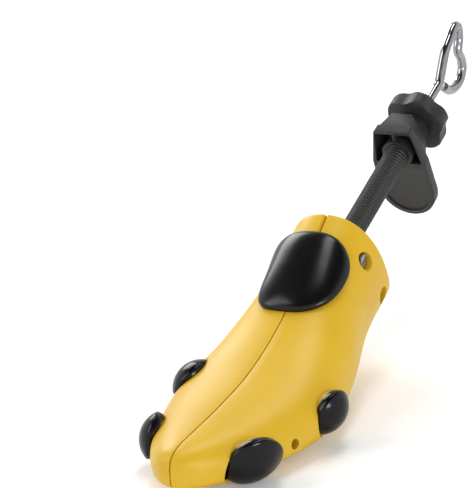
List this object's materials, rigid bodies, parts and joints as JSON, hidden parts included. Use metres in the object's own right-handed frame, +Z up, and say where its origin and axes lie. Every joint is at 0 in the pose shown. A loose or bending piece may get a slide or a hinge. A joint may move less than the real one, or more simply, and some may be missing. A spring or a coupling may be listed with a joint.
{
  "type": "shoe stretcher",
  "caption": "Split foot-shaped last on a threaded tube with round pressure plugs, an instep saddle, a sliding heel block with lobed knob, and a hook handle that spreads the halves.",
  "frame": {"origin": "middle of the flat sole, on the seam between the two halves", "axes": "+Y along the seam from the toe towards the heel block and hook, +X to the right flank as seen from behind, +Z up from the sole"},
  "size_m": [0.0902, 0.3329, 0.13],
  "materials": {
    "last": "satin",
    "plug": "gloss",
    "saddle": "satin",
    "dark_moulding": "matte",
    "inner_moulding": "matte",
    "hook": "polished",
    "steel": "satin"
  },
  "bodies": {
    "core": {"core_block": "dark_moulding", "threaded_tube": "dark_moulding", "tube_pin": "steel", "guide_pins": "steel", "spring_screws_left": "steel", "spring_screws_right": "steel", "springs_left": "steel", "springs_right": "steel", "thrust_washer": "steel"},
    "half_left": {"shell_left": "last", "ramp_left": "inner_moulding", "ramp_screws_left": "steel", "plug_front_left": "plug", "plug_rear_left": "plug"},
    "half_right": {"shell_right": "last", "ramp_right": "inner_moulding", "ramp_screws_right": "steel", "plug_front_right": "plug", "plug_rear_right": "plug"},
    "saddle": {"instep_saddle": "saddle", "saddle_screw": "steel"},
    "handle": {"hook_spindle": "hook", "spindle_collar": "steel"},
    "wedge": {"wedge_nut": "inner_moulding"},
    "heel": {"heel_block": "dark_moulding", "knob_ring": "steel"},
    "knob": {"length_knob": "dark_moulding"}
  },
  "joints": [
    {"name": "handle_turn", "type": "hinge", "parent": "core", "child": "handle", "pos_m": [0, 0.12042, 0.054], "axis": [0, 0.9336, 0.3584], "range_deg": [0, 1800.5]},
    {"name": "wedge_slide", "type": "slide", "parent": "core", "child": "wedge", "axis": [0, -0.9336, -0.3584], "range_m": [0, 0.01]},
    {"name": "half_left_slide", "type": "slide", "parent": "core", "child": "half_left", "axis": [-1, 0, 0], "range_m": [0, 0.00501], "deforming": ["springs_left"]},
    {"name": "half_right_slide", "type": "slide", "parent": "core", "child": "half_right", "axis": [1, 0, 0], "range_m": [0, 0.00501], "deforming": ["springs_right"]},
    {"name": "saddle_lift", "type": "slide", "parent": "core", "child": "saddle", "axis": [0, -0.3584, 0.9336], "range_m": [0, 0.0038]},
    {"name": "heel_slide", "type": "slide", "parent": "core", "child": "heel", "axis": [0, 0.9336, 0.3584], "range_m": [-0.07, 0.001]},
    {"name": "knob_turn", "type": "hinge", "parent": "heel", "child": "knob", "pos_m": [0, 0.12042, 0.054], "axis": [0, 0.9336, 0.3584], "range_deg": [-12600.5, 180.5]}
  ],
  "couplings": [
    {"joint": "handle_turn", "follows": "wedge_slide", "rad_per_m": 3141.6},
    {"joint": "half_left_slide", "follows": "wedge_slide", "ratio": 0.5},
    {"joint": "half_right_slide", "follows": "wedge_slide", "ratio": 0.5},
    {"joint": "saddle_lift", "follows": "wedge_slide", "ratio": 0.375},
    {"joint": "knob_turn", "follows": "heel_slide", "rad_per_m": 3141.6}
  ]
}
